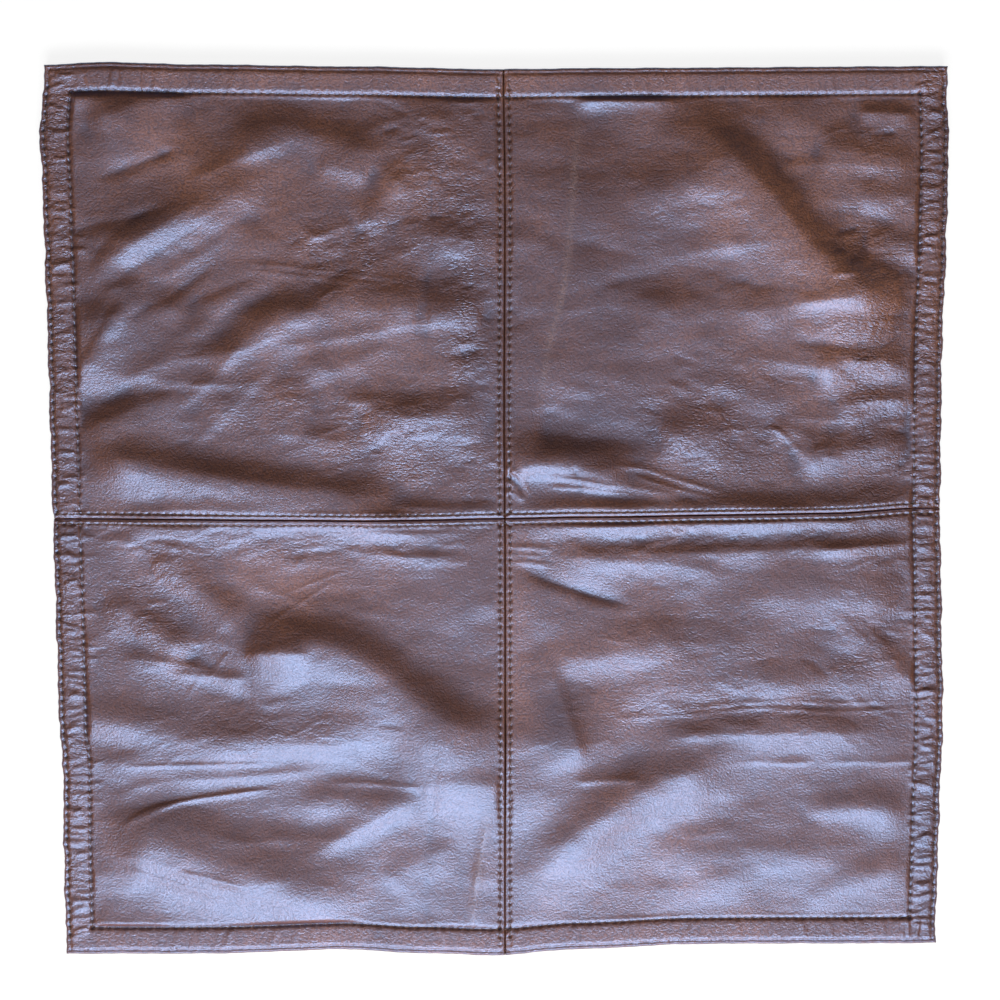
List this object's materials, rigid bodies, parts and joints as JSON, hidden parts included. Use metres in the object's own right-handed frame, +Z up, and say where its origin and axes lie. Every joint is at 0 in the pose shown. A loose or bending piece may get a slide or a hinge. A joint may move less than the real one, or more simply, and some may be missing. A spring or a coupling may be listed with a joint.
{
  "type": "desk mat",
  "caption": "Square lined leather mat: soft rumpled face panels joined in a cross of topstitched seams, turned double-stitched border and flat backing that lies on a desk.",
  "frame": {"origin": "middle of the mat's outline, on the plane it lies on", "axes": "+Z up out of the face, +Y towards the far edge (top of the picture), +X to the right"},
  "size_m": [0.4, 0.4, 0.0093],
  "materials": {
    "face_leather": "semi-gloss grain leather",
    "backing_leather": "matt split leather",
    "thread": "waxed polyester thread"
  },
  "bodies": {
    "root": {"face_panel_near_left": "face_leather", "face_panel_near_right": "face_leather", "face_panel_rear_left": "face_leather", "face_panel_rear_right": "face_leather", "backing_near": "backing_leather", "backing_rear": "backing_leather", "seam_thread_cross": "thread", "seam_thread_rear": "thread", "seam_thread_near": "thread", "seam_thread_backing": "thread", "closing_seam_thread": "thread", "topstitch_cross_rear": "thread", "topstitch_cross_near": "thread", "topstitch_rear_left": "thread", "topstitch_rear_right": "thread", "topstitch_near_left": "thread", "topstitch_near_right": "thread", "edge_row_face": "thread", "edge_row_under": "thread", "border_row_face": "thread", "border_row_under": "thread"}
  },
  "joints": []
}
